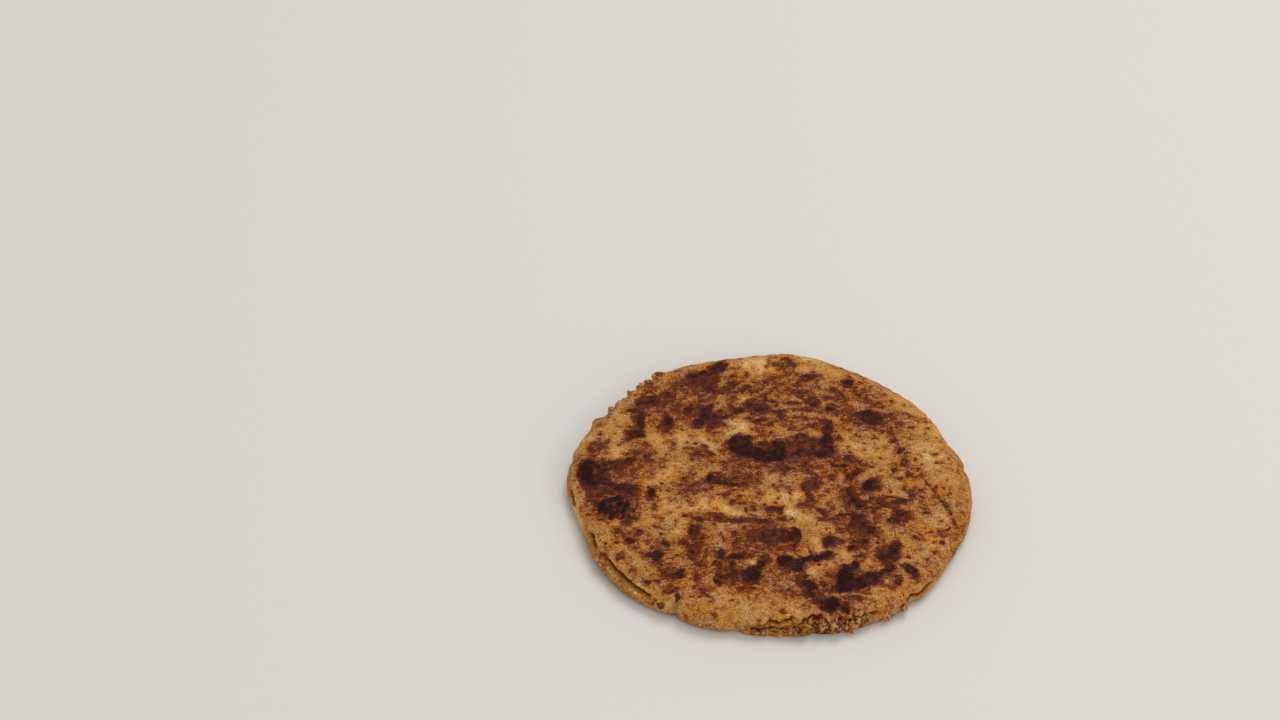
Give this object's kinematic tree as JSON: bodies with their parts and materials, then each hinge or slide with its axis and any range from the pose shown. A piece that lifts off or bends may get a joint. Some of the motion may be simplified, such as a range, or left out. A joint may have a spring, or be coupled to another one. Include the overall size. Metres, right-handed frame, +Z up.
{
  "type": "gordita",
  "caption": "Thick, flat, round wheat gordita, browned and scorched on a griddle, with a rounded and slightly cracked edge, lying flat.",
  "frame": {"origin": "middle of the flat underside, on the surface that the bread lies on", "axes": "+X across the bread's longest side, +Y across it away from the side that faced the viewer, +Z up, through its thickness"},
  "size_m": [0.1408, 0.133, 0.0092],
  "materials": {
    "browned_crust": "dry matte wheat crust, golden brown with dark scorch marks"
  },
  "bodies": {
    "root": {"gordita": "browned_crust"}
  },
  "joints": []
}
